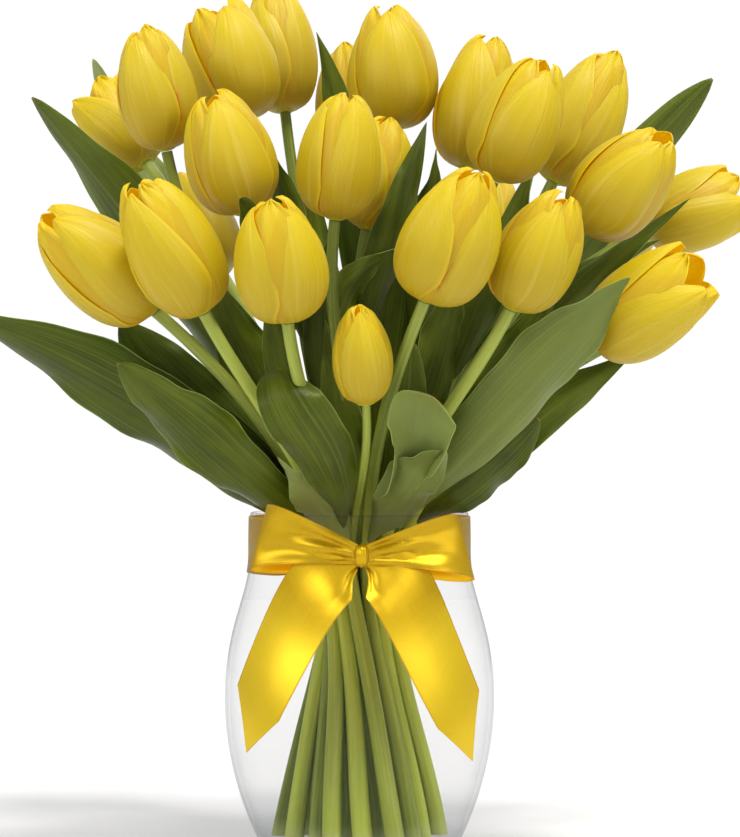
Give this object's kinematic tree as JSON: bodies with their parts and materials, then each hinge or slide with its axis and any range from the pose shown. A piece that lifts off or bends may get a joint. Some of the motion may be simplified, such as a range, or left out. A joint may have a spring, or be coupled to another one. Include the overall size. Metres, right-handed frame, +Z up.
{
  "type": "tulips in a vase",
  "caption": "Bouquet of yellow tulips with long green leaves in a clear glass vase, with a satin ribbon tied in a bow round its neck.",
  "frame": {"origin": "middle of the flat underside of the vase", "axes": "+Z up along the vase's axis, -Y towards the front with the bow, +X to the right seen from the front"},
  "size_m": [0.4744, 0.3156, 0.5357],
  "materials": {
    "glass": "clear smooth glass with a faint blue-grey tint at its edges",
    "satin": "golden yellow satin ribbon with soft folds",
    "petal": "bright yellow petals with fine veins and a pale satin sheen",
    "leaf": "green leaves and stems with long parallel veins and a waxy bloom"
  },
  "bodies": {
    "root": {"vase": "glass", "ribbon_band": "satin", "ribbon_bow": "satin", "upright_left_bloom": "petal", "top_left_bloom": "petal", "top_behind_bloom": "petal", "top_middle_bloom": "petal", "peek_behind_bloom": "petal", "right_pair_back_bloom": "petal", "right_pair_front_bloom": "petal", "right_back_bloom": "petal", "right_shoulder_bloom": "petal", "far_right_open_bloom": "petal", "right_hidden_bloom": "petal", "low_right_open_bloom": "petal", "front_right_bloom": "petal", "front_right_outer_bloom": "petal", "middle_bloom": "petal", "middle_behind_bloom": "petal", "left_middle_bloom": "petal", "front_left_bloom": "petal", "left_front_bloom": "petal", "far_left_bloom": "petal", "left_behind_bloom": "petal", "front_bud_bloom": "petal", "back_left_bloom": "petal", "back_right_bloom": "petal", "upright_left_stem": "leaf", "top_left_stem": "leaf", "top_behind_stem": "leaf", "top_middle_stem": "leaf", "peek_behind_stem": "leaf", "right_pair_back_stem": "leaf", "right_pair_front_stem": "leaf", "right_back_stem": "leaf", "right_shoulder_stem": "leaf", "far_right_open_stem": "leaf", "right_hidden_stem": "leaf", "low_right_open_stem": "leaf", "front_right_stem": "leaf", "front_right_outer_stem": "leaf", "middle_stem": "leaf", "middle_behind_stem": "leaf", "left_middle_stem": "leaf", "front_left_stem": "leaf", "left_front_stem": "leaf", "far_left_stem": "leaf", "left_behind_stem": "leaf", "front_bud_stem": "leaf", "back_left_stem": "leaf", "back_right_stem": "leaf"}
  },
  "joints": []
}
